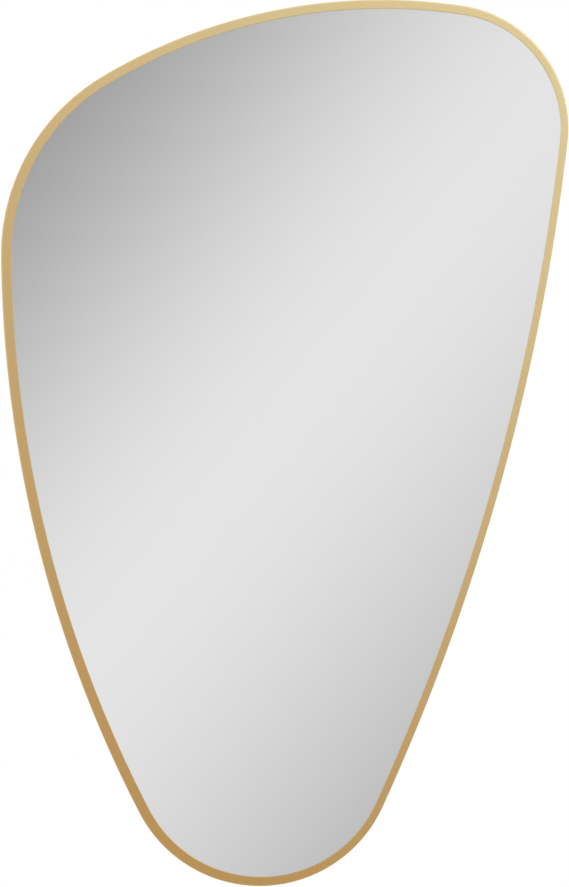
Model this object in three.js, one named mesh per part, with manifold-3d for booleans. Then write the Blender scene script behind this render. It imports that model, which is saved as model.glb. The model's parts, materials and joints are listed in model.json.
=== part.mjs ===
// Irregular wall mirror: a pebble-shaped pane in a thin, gold anodised aluminium channel frame.
//
// Millimetres. +Z is up, the mirror faces -Y and the wall is the plane Y = 0.
// The origin is the middle of the line on which two wall hooks carry the raised hanger rings.

import * as THREE from 'three';
import { mergeVertices } from 'three/addons/utils/BufferGeometryUtils.js';
import Module from 'manifold-3d';

// ---------------------------------------------------------------- driving dimensions

// Outer outline of the frame, seen from the front: three corner circles...
const topLeftX = -61.2;
const topLeftZ = -59.6;
const topLeftRadius = 182.2;
const topRightX = 147;
const topRightZ = 51.6;
const topRightRadius = 108.6;
const bottomX = -16;
const bottomZ = -496.4;
const bottomRadius = 119;
// ...joined by three long side arcs.
const topSideRadius = 482.4;
const rightSideRadius = 1944.8;
const leftSideRadius = 1090;

// Frame: one bent aluminium channel, whose ends meet in a seam at the bottom.
const frameDepth = 22;
const frameWall = 1.5;
const lipWidth = 7.6;
const lipShiftRight = 1.2;      // the lip's opening sits this far right of the outline's middle
const rearFlangeWidth = 8;
const outerBendRadius = 1.2;
const innerBendRadius = 0.5;
const seamGap = 0.2;
const wallStandoff = 2;         // from the frame's rear flange to the wall

// Layers inside the channel, from the lip backwards.
const gasketThickness = 1;
const gasketSetback = 1;        // how far the gasket stays hidden behind the lip's edge
const glassThickness = 4;
const glassEdgeClearance = 1;
const glassArris = 0.5;         // ground-off edge of the pane
const tapeThickness = 1;
const tapeWidth = 20;
const tapeCount = 5;
const tapeSideMargin = 85;      // from the board's left and right edges to the outer strips
const tapeEndMargin = 30;       // from the board's edge to the ends of each strip
const boardThickness = 9;
const boardEdgeClearance = 1.5;

// Bowed springs, pushed in between the board and the rear flange.
const springCount = 10;
const springLength = 34;
const springWidth = 10;
const springThickness = 0.6;
const springInset = 3.2;

// Joiner plate behind the seam and its machine screws.
const joinerLength = 64;
const joinerThickness = 2;
const joinerScrewSpacing = 16;
const joinerScrewShankRadius = 1.5;
const joinerScrewHeadRadius = 2.7;
const joinerScrewHeadHeight = 1.6;
const joinerScrewTipPastPlate = 0.3;
const joinerScrewPoint = 0.3;
const joinerScrewTipRadius = 1.2;

// Two hangers: a strap with a rolled eye, a D-shaped ring of wire in the eye, two wood screws.
const hangerSpacing = 300;
const ringWidth = 24;           // between the middles of the ring's two legs
const ringHeight = 19;          // from the middle of the straight leg to the middle of the bow
const ringCornerRadius = 3;
const ringWireRadius = 1.25;
const strapWidth = 12;
const strapLength = 46;         // from the middle of the eye to the rounded end
const strapThickness = 1.2;
const eyeClearance = 0.35;
const strapFirstScrew = 27;     // from the middle of the eye
const strapScrewSpacing = 12;
const woodScrewShankRadius = 1.6;
const woodScrewLength = 8;
const woodScrewPoint = 3.2;     // length of the tapered tip
const woodScrewTipRadius = 0.25;
const woodScrewHeadRadius = 3.1;
const woodScrewHeadHeight = 2;

// Rubber bumpers that rest on the wall.
const bumperBaseRadius = 7;
const bumperFaceRadius = 4.9;     // flat part that rests on the wall
const bumperRimHeight = 0.8;    // straight part of the side, at the adhesive base
const bumperEdgeRound = 0.8;
const bumperInset = 32;
const bumperAngles = { upperLeft: 150, upperRight: 40, lowerRight: -50, lowerLeft: -145 };

// Clearances between pieces that touch.
const seatGap = 0.1;            // flat faces that are pressed together
const sideGap = 0.3;            // screws in their holes, plates beside walls

// How finely curves are divided.
const chordError = 0.15;
const ringChordError = 0.08;
const wireSides = 8;
const turnedSides = 14;
const holeSides = 12;
const outerBendSteps = 3;
const innerBendSteps = 1;
const quarterSteps = 3;
const joinerSteps = 8;
const mergeTolerance = 1e-4;
const drillPast = 1;            // how far a drill starts outside the face

// ---------------------------------------------------------------- places worked out from them

const frameRearY = -wallStandoff;
const frameFrontY = frameRearY - frameDepth;
const gasketFrontY = frameFrontY + frameWall + seatGap;
const glassFrontY = gasketFrontY + gasketThickness + seatGap;
const tapeFrontY = glassFrontY + glassThickness + seatGap;
const boardFrontY = tapeFrontY + tapeThickness + seatGap;
const boardBackY = boardFrontY + boardThickness;
const flangeFrontY = frameRearY - frameWall;
const onBoardY = boardBackY + seatGap;

const glassInset = frameWall + glassEdgeClearance;
const boardInset = frameWall + boardEdgeClearance;

const eyeInnerRadius = ringWireRadius + eyeClearance;
const eyeOuterRadius = eyeInnerRadius + strapThickness;
const pivotY = onBoardY + eyeOuterRadius;
const pivotZ = ringWireRadius - ringHeight;

// ---------------------------------------------------------------- materials

function material(color, roughness, metalness) {
  return new THREE.MeshStandardMaterial({ color, roughness, metalness });
}

const goldAluminium = material(0xd2b788, 0.38, 1);
const mirrorFinish = material(0xe6e8e6, 0.02, 1);
const blackFoam = material(0x26262a, 0.9, 0);
const whiteFoam = material(0xe4e2dc, 0.85, 0);
const fibreboard = material(0x8f6d4a, 0.8, 0);
const springSteel = material(0xa9adb3, 0.35, 1);
const zincSteel = material(0xb9bcc0, 0.4, 1);
const nickelWire = material(0xc9c8c4, 0.25, 1);
const clearRubber = material(0xd6d8d6, 0.55, 0);

// ---------------------------------------------------------------- smooth closed outlines

const turn = 2 * Math.PI;

/** Clockwise arc. Its stations carry a point and the outward normal. */
function arcPiece(centre, radius, fromAngle, toAngle) {
  const sweep = ((fromAngle - toAngle) % turn + turn) % turn;
  return {
    length: radius * sweep,
    radius,
    at(share) {
      const angle = fromAngle - sweep * share;
      const nx = Math.cos(angle);
      const nz = Math.sin(angle);
      return { x: centre.x + radius * nx, z: centre.z + radius * nz, nx, nz };
    },
  };
}

function linePiece(from, to) {
  return {
    length: Math.hypot(to.x - from.x, to.z - from.z),
    radius: Infinity,
    at(share) {
      const x = from.x + (to.x - from.x) * share;
      const z = from.z + (to.z - from.z) * share;
      return { x, z, nx: from.nx, nz: from.nz };
    },
  };
}

/** Angles at which a side leaves circle a and meets circle b, and the side itself. */
function sideBetween(a, b) {
  const distance = Math.hypot(b.x - a.x, b.z - a.z);
  const ux = (b.x - a.x) / distance;
  const uz = (b.z - a.z) / distance;
  if (a.sideRadius === Infinity) {
    const along = (a.radius - b.radius) / distance;
    const across = Math.sqrt(1 - along * along);
    const nx = ux * along - uz * across;
    const nz = uz * along + ux * across;
    const from = { x: a.x + nx * a.radius, z: a.z + nz * a.radius, nx, nz };
    const to = { x: b.x + nx * b.radius, z: b.z + nz * b.radius };
    const angle = Math.atan2(nz, nx);
    return { leave: angle, meet: angle, piece: linePiece(from, to) };
  }
  const toA = a.sideRadius - a.radius;
  const toB = a.sideRadius - b.radius;
  const along = (toA * toA - toB * toB + distance * distance) / (2 * distance);
  const across = Math.sqrt(toA * toA - along * along);
  const centre = { x: a.x + ux * along + uz * across, z: a.z + uz * along - ux * across };
  const leave = Math.atan2(a.z - centre.z, a.x - centre.x);
  const meet = Math.atan2(b.z - centre.z, b.x - centre.x);
  return { leave, meet, piece: arcPiece(centre, a.sideRadius, leave, meet) };
}

/** Corner circles in clockwise order, each joined to the next by the side named on it. */
function smoothOutline(corners) {
  const sides = corners.map((corner, i) => sideBetween(corner, corners[(i + 1) % corners.length]));
  return corners.flatMap((corner, i) => [
    arcPiece(corner, corner.radius, sides.at(i - 1).meet, sides[i].leave),
    sides[i].piece,
  ]);
}

function stationsRound(pieces, allowedChordError) {
  return pieces.flatMap(piece => {
    const step = Math.sqrt(8 * piece.radius * allowedChordError);
    const count = Math.max(1, Math.ceil(piece.length / step));
    return Array.from({ length: count }, (_, i) => piece.at(i / count));
  });
}

function totalLength(pieces) {
  return pieces.reduce((sum, piece) => sum + piece.length, 0);
}

/** Station at a distance, clockwise, from the start of the first piece. */
function stationAt(pieces, distance) {
  const total = totalLength(pieces);
  let left = ((distance % total) + total) % total;
  for (const piece of pieces) {
    if (left <= piece.length) {
      return piece.at(left / piece.length);
    }
    left -= piece.length;
  }
  return pieces[0].at(0);
}

const topLeft = { x: topLeftX, z: topLeftZ, radius: topLeftRadius, sideRadius: topSideRadius };
const topRight = { x: topRightX, z: topRightZ, radius: topRightRadius, sideRadius: rightSideRadius };
const bottom = { x: bottomX, z: bottomZ, radius: bottomRadius, sideRadius: leftSideRadius };

const rim = smoothOutline([bottom, topLeft, topRight]);
const rimStations = stationsRound(rim, chordError);
const rimLength = totalLength(rim);
// The bottom corner's arc runs clockwise from its right end, through its lowest point.
const seamDistance = bottomRadius * (Math.atan2(rim[0].at(0).nz, rim[0].at(0).nx) + turn / 4);

/** Point of the rim moved inwards; a share of 1 also moves it with the lip's opening. */
function inward(station, inset, openingShare = 0) {
  return {
    x: station.x - station.nx * inset + lipShiftRight * openingShare,
    z: station.z - station.nz * inset,
  };
}

// ---------------------------------------------------------------- solids

const wasm = await Module();
wasm.setup();

function toSolid(geometry) {
  const bare = geometry.clone();
  bare.deleteAttribute('normal');
  bare.deleteAttribute('uv');
  const merged = mergeVertices(bare, mergeTolerance);
  return new wasm.Manifold(new wasm.Mesh({
    numProp: 3,
    vertProperties: new Float32Array(merged.attributes.position.array),
    triVerts: new Uint32Array(merged.index.array),
  }));
}

function toGeometry(solid) {
  const mesh = solid.getMesh();
  const geometry = new THREE.BufferGeometry();
  geometry.setAttribute('position', new THREE.BufferAttribute(mesh.vertProperties, 3));
  geometry.setIndex(new THREE.BufferAttribute(mesh.triVerts, 1));
  geometry.computeVertexNormals();
  return geometry;
}

function cutAway(geometry, tools) {
  const solid = tools.reduce((rest, tool) => rest.subtract(toSolid(tool)), toSolid(geometry));
  return toGeometry(solid);
}

/** Closed ring: a profile of {inset, y, openingShare} points carried round the stations. */
function sweepRound(stations, profile) {
  const positions = stations.flatMap(station => profile.flatMap(point => {
    const place = inward(station, point.inset, point.openingShare);
    return [place.x, point.y, place.z];
  }));
  const index = [];
  const around = stations.length;
  const across = profile.length;
  for (let i = 0; i < around; i += 1) {
    for (let j = 0; j < across; j += 1) {
      const a = i * across + j;
      const b = i * across + (j + 1) % across;
      const c = ((i + 1) % around) * across + (j + 1) % across;
      const d = ((i + 1) % around) * across + j;
      index.push(a, c, b, a, d, c);
    }
  }
  const geometry = new THREE.BufferGeometry();
  geometry.setAttribute('position', new THREE.Float32BufferAttribute(positions, 3));
  geometry.setIndex(index);
  geometry.computeVertexNormals();
  return geometry;
}

function shapeOf(points) {
  return new THREE.Shape(points.map(point => new THREE.Vector2(point.x, point.z)));
}

function insetShape(inset) {
  return shapeOf(rimStations.map(station => inward(station, inset)));
}

/** Flat plate drawn in X and Z, whose back face lies at local Y = 0. */
function plate(shape, thickness, arris = 0) {
  const geometry = new THREE.ExtrudeGeometry(shape, {
    depth: thickness - 2 * arris,
    bevelEnabled: arris > 0,
    bevelThickness: arris,
    bevelSize: arris,
    bevelOffset: -arris,
    bevelSegments: 1,
    curveSegments: holeSides,
  });
  geometry.translate(0, 0, arris);
  geometry.rotateX(Math.PI / 2);
  return geometry;
}

/** Cylinder along Y, for cutting a hole. */
function drill(radius, fromY, toY, x, z) {
  const geometry = new THREE.CylinderGeometry(radius, radius, toY - fromY, holeSides);
  geometry.translate(x, (fromY + toY) / 2, z);
  return geometry;
}

function arcOfProfile(insetCentre, yCentre, radius, fromAngle, toAngle, steps) {
  return Array.from({ length: steps + 1 }, (_, i) => {
    const angle = fromAngle + (toAngle - fromAngle) * i / steps;
    return { inset: insetCentre + radius * Math.cos(angle), y: yCentre + radius * Math.sin(angle) };
  });
}

const assembly = new THREE.Group();

function add(name, geometry, finish, parent = assembly) {
  const mesh = new THREE.Mesh(geometry, finish);
  mesh.name = name;
  parent.add(mesh);
  return mesh;
}

/** Group on the rim: its X follows the rim, its Z points outwards. */
function groupOnRim(distance, inset, y) {
  const station = stationAt(rim, distance);
  const place = inward(station, inset);
  const group = new THREE.Group();
  group.position.set(place.x, y, place.z);
  group.rotation.y = Math.atan2(station.nx, station.nz);
  assembly.add(group);
  return group;
}

// ---------------------------------------------------------------- frame

/** Section of the channel: front lip, outer web and rear flange, with rounded bends. */
function channelProfile() {
  const front = frameFrontY;
  const rear = frameRearY;
  const bend = outerBendRadius;
  const inner = innerBendRadius;
  const lipBack = front + frameWall;
  return [
    { inset: lipWidth, y: front, openingShare: 1 },
    ...arcOfProfile(bend, front + bend, bend, -Math.PI / 2, -Math.PI, outerBendSteps),
    ...arcOfProfile(bend, rear - bend, bend, Math.PI, Math.PI / 2, outerBendSteps),
    { inset: rearFlangeWidth, y: rear },
    { inset: rearFlangeWidth, y: flangeFrontY },
    ...arcOfProfile(frameWall + inner, flangeFrontY - inner, inner,
      Math.PI / 2, Math.PI, innerBendSteps),
    ...arcOfProfile(frameWall + inner, lipBack + inner, inner,
      Math.PI, 3 * Math.PI / 2, innerBendSteps),
    { inset: lipWidth, y: lipBack, openingShare: 1 },
  ];
}

const joinerScrewInset = (frameWall + rearFlangeWidth) / 2;
const joinerScrewOffsets = [-1.5, -0.5, 0.5, 1.5].map(step => step * joinerScrewSpacing);

function joinerHoles(fromY, toY) {
  return joinerScrewOffsets.map(offset => {
    const place = inward(stationAt(rim, seamDistance + offset), joinerScrewInset);
    return drill(joinerScrewShankRadius + sideGap, fromY, toY, place.x, place.z);
  });
}

function buildFrame() {
  const seam = stationAt(rim, seamDistance);
  const seamDepth = 2 * Math.max(lipWidth, rearFlangeWidth);
  const seamCut = new THREE.BoxGeometry(seamGap, 2 * frameDepth, 2 * seamDepth);
  seamCut.translate(seam.x, frameFrontY + frameDepth / 2, seam.z);
  const ring = sweepRound(rimStations, channelProfile());
  const holes = joinerHoles(flangeFrontY - frameWall, frameRearY + frameWall);
  add('frame_channel', cutAway(ring, [seamCut, ...holes]), goldAluminium);
}

function buildJoiner() {
  const outerInset = frameWall + innerBendRadius + sideGap;
  const innerInset = rearFlangeWidth;
  const distances = Array.from({ length: joinerSteps + 1 }, (_, i) =>
    seamDistance + joinerLength * (i / joinerSteps - 0.5));
  const outerEdge = distances.map(distance => inward(stationAt(rim, distance), outerInset));
  const innerEdge = distances.map(distance => inward(stationAt(rim, distance), innerInset));
  const backY = flangeFrontY - seatGap;
  const bar = plate(shapeOf([...outerEdge, ...innerEdge.reverse()]), joinerThickness);
  bar.translate(0, backY, 0);
  const holes = joinerHoles(backY - 2 * joinerThickness, backY + joinerThickness);
  add('frame_joiner', cutAway(bar, holes), zincSteel);

  const shankLength = frameWall + joinerThickness + 2 * seatGap + joinerScrewTipPastPlate;
  joinerScrewOffsets.forEach((offset, i) => {
    const group = groupOnRim(seamDistance + offset, joinerScrewInset, frameRearY + seatGap);
    const screw = panScrew(joinerScrewShankRadius, shankLength, joinerScrewPoint, joinerScrewTipRadius,
      joinerScrewHeadRadius, joinerScrewHeadHeight);
    add(`joiner_screw_${i + 1}`, screw, zincSteel, group);
  });
}

// ---------------------------------------------------------------- screws

/** Quarter of an ellipse, from its outermost point up to its top. */
function quarterRound(middleRadius, middleHeight, reach, rise) {
  return Array.from({ length: quarterSteps + 1 }, (_, i) => {
    const angle = turn / 4 * i / quarterSteps;
    return [middleRadius + reach * Math.cos(angle), middleHeight + rise * Math.sin(angle)];
  });
}

function turned(profile) {
  const points = profile.map(([radius, height]) => new THREE.Vector2(Math.max(0, radius), height));
  return new THREE.LatheGeometry(points, turnedSides);
}

/** Pan-head screw along Y: the head sits above Y = 0, the tip points to -Y. */
function panScrew(shankRadius, shankLength, pointLength, tipRadius, headRadius, headHeight) {
  const sideHeight = headHeight / 3;
  return turned([
    [0, -shankLength],
    [tipRadius, -shankLength],
    [shankRadius, pointLength - shankLength],
    [shankRadius, 0],
    [headRadius, 0],
    ...quarterRound(0, sideHeight, headRadius, headHeight - sideHeight),
  ]);
}

// ---------------------------------------------------------------- pane, gasket, tape and board

function buildGasket() {
  const backY = gasketFrontY + gasketThickness;
  const profile = [
    { inset: lipWidth - gasketSetback, y: gasketFrontY, openingShare: 1 },
    { inset: glassInset, y: gasketFrontY },
    { inset: glassInset, y: backY },
    { inset: lipWidth - gasketSetback, y: backY, openingShare: 1 },
  ];
  add('lip_gasket', sweepRound(rimStations, profile), blackFoam);
}

function buildGlass() {
  const pane = add('mirror_glass', plate(insetShape(glassInset), glassThickness, glassArris), mirrorFinish);
  pane.position.y = glassFrontY + glassThickness;
}

/** Lowest and highest point at which the vertical line at x crosses a closed row of points. */
function verticalSpan(points, x) {
  const crossings = [];
  points.forEach((a, i) => {
    const b = points[(i + 1) % points.length];
    if ((a.x - x) * (b.x - x) < 0) {
      crossings.push(a.z + (b.z - a.z) * (x - a.x) / (b.x - a.x));
    }
  });
  return [Math.min(...crossings), Math.max(...crossings)];
}

function buildTape() {
  const within = rimStations.map(station => inward(station, boardInset + tapeEndMargin));
  const boardXs = rimStations.map(station => inward(station, boardInset).x);
  const first = Math.min(...boardXs) + tapeSideMargin;
  const last = Math.max(...boardXs) - tapeSideMargin;
  for (let i = 0; i < tapeCount; i += 1) {
    const x = first + (last - first) * i / (tapeCount - 1);
    const spans = [x - tapeWidth / 2, x + tapeWidth / 2].map(edge => verticalSpan(within, edge));
    const low = Math.max(...spans.map(span => span[0]));
    const high = Math.min(...spans.map(span => span[1]));
    const strip = new THREE.BoxGeometry(tapeWidth, tapeThickness, high - low);
    const mesh = add(`tape_strip_${i + 1}`, strip, whiteFoam);
    mesh.position.set(x, tapeFrontY + tapeThickness / 2, (low + high) / 2);
  }
}

const hangers = [
  { side: 'left', x: -hangerSpacing / 2 },
  { side: 'right', x: hangerSpacing / 2 },
];
const strapScrewDrops = [strapFirstScrew, strapFirstScrew + strapScrewSpacing];

function buildBoard() {
  const holeDepth = woodScrewLength - strapThickness + sideGap;
  const holes = hangers.flatMap(hanger => strapScrewDrops.map(drop =>
    drill(woodScrewShankRadius + sideGap, -holeDepth, drillPast, hanger.x, pivotZ - drop)));
  const board = cutAway(plate(insetShape(boardInset), boardThickness), holes);
  add('backing_board', board, fibreboard).position.y = boardBackY;
}

// ---------------------------------------------------------------- springs

/** Bow whose two ends stand on Y = 0 and whose crown reaches the given height. */
function bowShape(length, height, thickness) {
  const outer = (length * length / 4 + height * height) / (2 * height);
  const centreY = height - outer;
  const inner = outer - thickness;
  const outerEnd = Math.asin(-centreY / outer);
  const innerEnd = Math.asin(-centreY / inner);
  const shape = new THREE.Shape();
  shape.absarc(0, centreY, outer, outerEnd, Math.PI - outerEnd, false);
  shape.absarc(0, centreY, inner, Math.PI - innerEnd, innerEnd, true);
  return shape;
}

function buildSprings() {
  const height = flangeFrontY - boardBackY - 2 * seatGap;
  const bow = bowShape(springLength, height, springThickness);
  const geometry = new THREE.ExtrudeGeometry(bow, { depth: springWidth, bevelEnabled: false });
  for (let i = 0; i < springCount; i += 1) {
    const distance = seamDistance + rimLength * (i + 0.5) / springCount;
    const spring = add(`spring_clip_${i + 1}`, geometry, springSteel,
      groupOnRim(distance, springInset, onBoardY));
    spring.position.z = -springWidth;
  }
}

// ---------------------------------------------------------------- hangers

/** Side view of the strap, with the eye's middle at 0, 0 and the flat strap hanging down. */
function strapSection() {
  const flatTop = -eyeInnerRadius;
  const meet = Math.acos(flatTop / eyeOuterRadius);
  const shape = new THREE.Shape();
  shape.moveTo(-eyeOuterRadius, -strapLength);
  shape.lineTo(-eyeOuterRadius, 0);
  shape.absarc(0, 0, eyeOuterRadius, Math.PI, -meet, true);
  shape.lineTo(flatTop, -strapLength);
  const bore = new THREE.Path();
  bore.absarc(0, 0, eyeInnerRadius, 0, turn, false);
  shape.holes.push(bore);
  return shape;
}

/** Front view of the strap: square at the eye, round at the other end. */
function strapOutline() {
  const half = strapWidth / 2;
  const shape = new THREE.Shape();
  shape.moveTo(-half, 2 * eyeOuterRadius);
  shape.lineTo(-half, half - strapLength);
  shape.absarc(0, half - strapLength, half, Math.PI, turn, false);
  shape.lineTo(half, 2 * eyeOuterRadius);
  return shape;
}

function strapGeometry() {
  const bent = new THREE.ExtrudeGeometry(strapSection(), {
    depth: 2 * strapWidth,
    bevelEnabled: false,
    curveSegments: wireSides,
  });
  // The section is drawn with X towards the wall: turn it so that it is extruded along X.
  bent.rotateX(Math.PI / 2);
  bent.rotateZ(Math.PI / 2);
  bent.translate(-strapWidth, 0, 0);
  const outline = plate(strapOutline(), 4 * eyeOuterRadius);
  outline.translate(0, 2 * eyeOuterRadius, 0);
  const holes = strapScrewDrops.map(drop =>
    drill(woodScrewShankRadius + sideGap, -2 * eyeOuterRadius, 0, 0, -drop));
  const trimmed = toSolid(bent).intersect(toSolid(outline));
  return toGeometry(holes.reduce((rest, hole) => rest.subtract(toSolid(hole)), trimmed));
}

/** D-shaped ring of round wire, hanging from the middle of its straight leg. */
function ringGeometry() {
  const cornerX = ringWidth / 2 - ringCornerRadius;
  const corner = { z: -ringCornerRadius, radius: ringCornerRadius, sideRadius: Infinity };
  const bow = { x: 0, z: ringWidth / 2 - ringHeight, radius: ringWidth / 2, sideRadius: Infinity };
  const path = smoothOutline([{ ...corner, x: -cornerX }, { ...corner, x: cornerX }, bow]);
  const wire = Array.from({ length: wireSides }, (_, i) => {
    const angle = -turn * (i + 0.5) / wireSides;
    return { inset: ringWireRadius * Math.cos(angle), y: ringWireRadius * Math.sin(angle) };
  });
  return sweepRound(stationsRound(path, ringChordError), wire);
}

function buildHangers() {
  const strap = strapGeometry();
  const ring = ringGeometry();
  const screw = panScrew(woodScrewShankRadius, woodScrewLength, woodScrewPoint, woodScrewTipRadius,
    woodScrewHeadRadius, woodScrewHeadHeight);
  for (const hanger of hangers) {
    const group = new THREE.Group();
    group.position.set(hanger.x, pivotY, pivotZ);
    assembly.add(group);
    add(`hanger_strap_${hanger.side}`, strap, zincSteel, group);
    add(`hanger_ring_${hanger.side}`, ring, nickelWire, group);
    strapScrewDrops.forEach((drop, i) => {
      const mesh = add(`hanger_screw_${hanger.side}_${i + 1}`, screw, zincSteel, group);
      mesh.position.set(0, seatGap - eyeInnerRadius, -drop);
    });
  }
}

// ---------------------------------------------------------------- bumpers

function bumperGeometry() {
  const height = -onBoardY;
  const round = bumperEdgeRound;
  return turned([
    [0, 0],
    [bumperBaseRadius, 0],
    [bumperBaseRadius, bumperRimHeight],
    ...quarterRound(bumperFaceRadius, height - round, round, round),
    [0, height],
  ]);
}

function buildBumpers() {
  const geometry = bumperGeometry();
  const places = [
    ['bumper_upper_left', topLeft, bumperAngles.upperLeft],
    ['bumper_upper_right', topRight, bumperAngles.upperRight],
    ['bumper_lower_right', bottom, bumperAngles.lowerRight],
    ['bumper_lower_left', bottom, bumperAngles.lowerLeft],
  ];
  for (const [name, corner, degrees] of places) {
    const angle = THREE.MathUtils.degToRad(degrees);
    const reach = corner.radius - bumperInset;
    const mesh = add(name, geometry, clearRubber);
    mesh.position.set(corner.x + reach * Math.cos(angle), onBoardY, corner.z + reach * Math.sin(angle));
  }
}

// ---------------------------------------------------------------- assembly

buildFrame();
buildJoiner();
buildGasket();
buildGlass();
buildTape();
buildBoard();
buildSprings();
buildHangers();
buildBumpers();

export default assembly;
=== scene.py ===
"""Irregular wall mirror in a satin gold channel frame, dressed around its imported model.

Metres. +Z is up, the mirror faces -Y and the wall is the plane Y = 0.
"""

import json
import math
from collections import namedtuple

import bmesh
import bpy
from mathutils import Matrix, Vector


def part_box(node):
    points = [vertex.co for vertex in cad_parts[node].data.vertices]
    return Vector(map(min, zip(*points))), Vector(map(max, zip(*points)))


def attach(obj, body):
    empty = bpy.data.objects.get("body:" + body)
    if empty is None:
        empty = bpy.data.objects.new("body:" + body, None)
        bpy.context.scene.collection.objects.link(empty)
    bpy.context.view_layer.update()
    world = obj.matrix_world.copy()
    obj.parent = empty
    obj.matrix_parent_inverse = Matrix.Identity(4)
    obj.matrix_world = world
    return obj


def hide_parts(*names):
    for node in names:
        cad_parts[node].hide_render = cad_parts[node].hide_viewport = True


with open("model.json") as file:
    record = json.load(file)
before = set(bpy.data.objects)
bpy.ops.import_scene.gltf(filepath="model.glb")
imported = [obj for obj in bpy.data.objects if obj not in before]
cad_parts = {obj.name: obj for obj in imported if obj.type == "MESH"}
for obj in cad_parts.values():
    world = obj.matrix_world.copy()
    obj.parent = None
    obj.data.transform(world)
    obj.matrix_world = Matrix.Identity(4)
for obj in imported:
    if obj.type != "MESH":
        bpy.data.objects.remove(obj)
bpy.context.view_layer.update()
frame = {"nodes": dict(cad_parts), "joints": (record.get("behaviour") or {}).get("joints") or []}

MM = 0.001
TURN = 2 * math.pi
HALF_TURN = TURN / 2
QUARTER_TURN = TURN / 4

# ---------------------------------------------------------------- sizes

# Outer outline, seen from the front: three corner circles in clockwise order, each with the
# radius of the long side that leads on to the next corner.
Corner = namedtuple("Corner", "x z radius side_radius")
BOTTOM = Corner(-16.0 * MM, -496.4 * MM, 119.0 * MM, 1090.0 * MM)
TOP_LEFT = Corner(-61.2 * MM, -59.6 * MM, 182.2 * MM, 482.4 * MM)
TOP_RIGHT = Corner(147.0 * MM, 51.6 * MM, 108.6 * MM, 1944.8 * MM)
OUTLINE_STEP = 4 * MM

# Frame channel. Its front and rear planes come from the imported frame.
FRAME_WALL = 1.5 * MM
LIP_WIDTH = 7.6 * MM
LIP_SHIFT_RIGHT = 1.2 * MM      # of the lip's opening, against the outline
REAR_FLANGE = 8 * MM
OUTER_BEND = 1.2 * MM
INNER_BEND = 0.5 * MM
EDGE_ROUND = 0.25 * MM
BEAD_WIDTH = 0.9 * MM           # bead behind the lip's edge, which covers the gasket
BEAD_CLEARANCE = 0.1 * MM       # between the bead and the glass
SEAM_GAP = 0.05 * MM            # between the two ends of the channel, at the bottom
BEND_STEPS = 8
EDGE_STEPS = 3

# Pane and board. The arris is the small round along their edges.
PANE_INSET = 2.5 * MM
PANE_ARRIS = 0.5 * MM
BOARD_INSET = 3.0 * MM
BOARD_ARRIS = 0.4 * MM
FLAT_FACE = 0.999               # a face of the pane whose normal has this much Y is flat glass

# Bowed springs.
SPRING_COUNT = 10
SPRING_LENGTH = 34 * MM
SPRING_WIDTH = 10 * MM
SPRING_THICKNESS = 0.6 * MM
SPRING_INSET = 3.2 * MM
SPRING_CLEARANCE = 0.1 * MM     # between the top of the bow and the rear flange
SPRING_CORNER = 2.5 * MM
SPRING_BEVEL = 0.12 * MM
SPRING_STEPS = 40

# Hangers. The strap's length runs from the middle of its eye to its rounded end.
RING_WIDTH = 24 * MM
RING_HEIGHT = 19 * MM
RING_CORNER = 3 * MM
RING_CORNER_STEPS = 10
RING_BOW_STEPS = 60
WIRE_RADIUS = 1.25 * MM
WIRE_SIDES = 24
STRAP_WIDTH = 12 * MM
STRAP_LENGTH = 46 * MM
STRAP_THICKNESS = 1.2 * MM
STRAP_BEVEL = 0.18 * MM
STRAP_TIP = 0.02 * MM           # half of the width that is left where the round end closes
STRAP_STEPS = 48
EYE_CLEARANCE = 0.35 * MM
EYE_INNER = WIRE_RADIUS + EYE_CLEARANCE
EYE_OUTER = EYE_INNER + STRAP_THICKNESS
EYE_STEPS = 40
EYE_END_ANGLE = math.radians(-122)
SCREW_DROPS = (27 * MM, 39 * MM)    # from the middle of the eye down to each screw

# Screws: shank radius, length under the head, head radius and height, tip radius, point length.
Screw = namedtuple("Screw", "shank length head height tip point")
WOOD_SCREW = Screw(1.6 * MM, 8 * MM, 3.1 * MM, 2 * MM, 0.25 * MM, 3.2 * MM)
WOOD_SCREW_START = {"left": 40, "right": 0}     # degrees that the driver's cross is turned
WOOD_SCREW_TURN = 25                            # degrees more on each next screw of a strap
JOINER_SCREW = Screw(1.5 * MM, 4 * MM, 2.7 * MM, 1.6 * MM, 1.2 * MM, 0.3 * MM)
JOINER_SCREW_COUNT = 4
JOINER_SCREW_SPACING = 16 * MM
JOINER_SCREW_INSET = (FRAME_WALL + REAR_FLANGE) / 2
JOINER_SCREW_TURN = 35                          # degrees more on each next screw
SCREW_CLEARANCE = 0.3 * MM
HEAD_STRAIGHT = 1 / 3           # share of the head's height below its dome
HEAD_SIDES = 40
HEAD_STEPS = 8
CROSS_ARM = 0.6                 # reach of the cross recess, as a share of the head's radius
CROSS_SLOT = 0.2                # its slot width, as a share of the head's radius
CROSS_DEPTH = 0.65              # its depth, as a share of the head's height
CROSS_FOOT = 0.5                # share of the reach at the bottom of the recess
CROSS_MOUTH = 1.6               # share of the reach at the top of the cutter
CROSS_TOP = 2                   # height of the cutter, in heights of the head

# Bumpers.
BUMPER_PLACES = ("upper_left", "upper_right", "lower_right", "lower_left")
BUMPER_BASE = 7 * MM
BUMPER_FACE = 4.9 * MM
BUMPER_RIM = 0.8 * MM
BUMPER_ROUND = 0.8 * MM
BUMPER_STEPS = 8
BUMPER_SIDES = 48

TAPE_COUNT = 5                  # foam tapes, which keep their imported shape

# Meshes in general.
SHARP_ANGLE = math.radians(35)      # an edge that turns by more than this shows as sharp
BEVEL_ANGLE = math.radians(40)      # and one that turns by more than this is bevelled
BEVEL_SEGMENTS = 2
DRILL_SIDES = 32

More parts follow.
